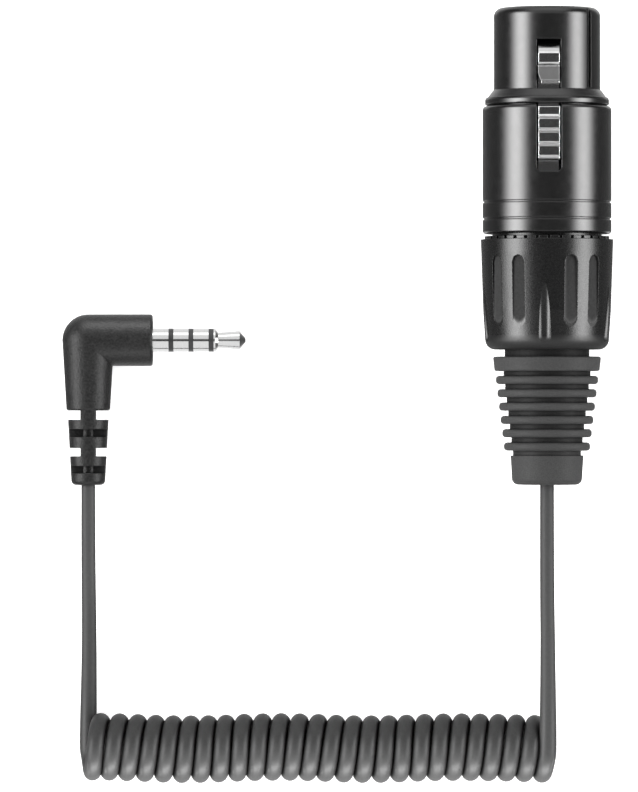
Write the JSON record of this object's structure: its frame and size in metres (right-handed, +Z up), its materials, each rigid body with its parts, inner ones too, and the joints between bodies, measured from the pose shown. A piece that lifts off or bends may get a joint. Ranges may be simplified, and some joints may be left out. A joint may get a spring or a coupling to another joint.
{
  "type": "coiled connector lead",
  "caption": "Curly audio lead between a female three-pole latching connector with a ribbed boot and a right-angle 3.5 mm four-pole plug.",
  "frame": {"origin": "on the resting plane, under the middle of the connector's box", "axes": "+Y along the connector's axis towards its nose, +Z up from the resting plane, +X away from the coil"},
  "size_m": [0.0826, 0.116, 0.0198],
  "materials": {
    "black_shell": "smooth black lacquer over die-cast metal, semi-gloss",
    "bushing_plastic": "fine-grained black plastic, satin",
    "boot_rubber": "dark grey matte rubber",
    "bright_latch": "bright nickel plate on a stamped lever",
    "black_insert": "moulded black plastic",
    "contact_plate": "silver-plated contacts",
    "spring_steel": "plain spring steel",
    "chuck_plastic": "pale acetal",
    "cord_jacket": "dark grey matte cable jacket",
    "wire_red": "wire insulation",
    "wire_white": "wire insulation",
    "wire_black": "wire insulation",
    "plug_plate": "bright nickel plate, turned",
    "band_plastic": "moulded black insulator",
    "overmould_rubber": "fine-grained matte black moulding"
  },
  "bodies": {
    "connector": {"front_shell": "black_shell", "barrel_shell": "black_shell", "contact_insert": "black_insert", "contact_1": "contact_plate", "contact_2": "contact_plate", "contact_3": "contact_plate", "ground_ring": "spring_steel", "latch_pin": "spring_steel", "latch_spring": "spring_steel", "cable_chuck": "chuck_plastic", "cable_end": "cord_jacket", "contact_wire_1": "wire_red", "contact_wire_2": "wire_white", "contact_wire_3": "wire_black", "coil": "cord_jacket", "lead_connector": "cord_jacket", "lead_plug": "cord_jacket", "plug_sleeve": "plug_plate", "plug_ring_1": "plug_plate", "plug_ring_2": "plug_plate", "plug_tip": "plug_plate", "plug_band_1": "band_plastic", "plug_band_2": "band_plastic", "plug_band_3": "band_plastic", "plug_wires": "wire_white", "plug_cable_end": "cord_jacket", "plug_overmould": "overmould_rubber"},
    "latch": {"latch_lever": "bright_latch"},
    "back_slide": {"boot": "boot_rubber"},
    "back_spin": {"bushing": "bushing_plastic"}
  },
  "joints": [
    {"name": "latch_press", "type": "hinge", "parent": "connector", "child": "latch", "pos_m": [0, 0.0095, 0.0155], "axis": [-1, 0, 0], "range_deg": [0, 4], "stiffness_Nm_per_rad": 0.25, "springref_deg": -6.88, "deforming": ["latch_spring"]},
    {"name": "bushing_travel", "type": "slide", "parent": "connector", "child": "back_slide", "axis": [0, -1, 0], "range_m": [0, 0.005]},
    {"name": "bushing_unscrew", "type": "hinge", "parent": "back_slide", "child": "back_spin", "pos_m": [0, -0.008, 0.0099], "axis": [0, -1, 0], "range_deg": [0, 1800]}
  ],
  "couplings": [
    {"joint": "bushing_travel", "follows": "bushing_unscrew", "m_per_rad": 0.00015915}
  ]
}
